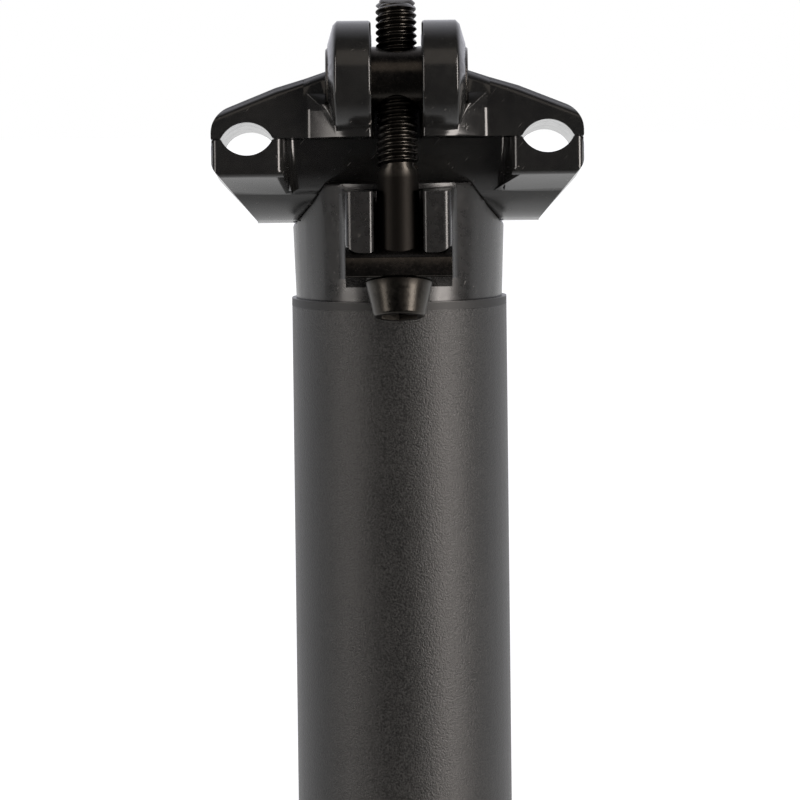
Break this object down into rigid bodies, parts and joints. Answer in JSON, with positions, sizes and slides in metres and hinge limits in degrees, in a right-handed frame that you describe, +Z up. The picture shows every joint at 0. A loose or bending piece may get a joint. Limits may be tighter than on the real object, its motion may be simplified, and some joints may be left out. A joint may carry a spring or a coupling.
{
  "type": "seatpost",
  "caption": "Straight bicycle seatpost with a forged head and a two-bolt rail clamp that tilts in a round cradle for fine saddle angle adjustment.",
  "frame": {"origin": "centre of the tube's cut bottom end, on the post's axis", "axes": "+Z up along the post, +Y towards the front of the bicycle, +X across it; the saddle rails run along Y and the clamp tilts about an axis along X"},
  "size_m": [0.053, 0.0527, 0.3694],
  "materials": {
    "tube_anodised": "bead-blasted, black anodised, satin",
    "forging_black": "polished and black anodised, glossy",
    "clamp_black": "polished and black anodised, glossy",
    "steel_black": "black oxide, semi-gloss"
  },
  "bodies": {
    "post": {"post_tube": "tube_anodised", "clamp_head": "forging_black"},
    "saddle_clamp": {"lower_clamp": "clamp_black", "upper_clamp": "clamp_black"},
    "rear_bolt_set": {"rear_bolt": "steel_black", "rear_washer": "steel_black"},
    "front_bolt_set": {"front_bolt": "steel_black", "front_washer": "steel_black"},
    "rear_nut": {"rear_barrel_nut": "steel_black"},
    "front_nut": {"front_barrel_nut": "steel_black"}
  },
  "joints": [
    {"name": "saddle_tilt", "type": "hinge", "parent": "post", "child": "saddle_clamp", "pos_m": [0, 0, 0.35], "axis": [1, 0, 0], "range_deg": [-10, 10]},
    {"name": "rear_bolt_swing", "type": "hinge", "parent": "post", "child": "rear_bolt_set", "pos_m": [0, -0.0217, 0.3298], "axis": [1, 0, 0], "range_deg": [-1.7, 1.7]},
    {"name": "front_bolt_swing", "type": "hinge", "parent": "post", "child": "front_bolt_set", "pos_m": [0, 0.0217, 0.3298], "axis": [1, 0, 0], "range_deg": [-0.9, 0.9]},
    {"name": "rear_nut_turn", "type": "hinge", "parent": "saddle_clamp", "child": "rear_nut", "pos_m": [0, -0.01482, 0.35842], "axis": [1, 0, 0], "range_deg": [-8.5, 8.5]},
    {"name": "front_nut_turn", "type": "hinge", "parent": "saddle_clamp", "child": "front_nut", "pos_m": [0, 0.01606, 0.35572], "axis": [1, 0, 0], "range_deg": [-9.3, 9.3]}
  ],
  "couplings": [
    {"joint": "rear_bolt_swing", "follows": "saddle_tilt", "ratio": 0.16},
    {"joint": "front_bolt_swing", "follows": "saddle_tilt", "ratio": 0.082},
    {"joint": "rear_nut_turn", "follows": "saddle_tilt", "ratio": -0.84},
    {"joint": "front_nut_turn", "follows": "saddle_tilt", "ratio": -0.918}
  ]
}
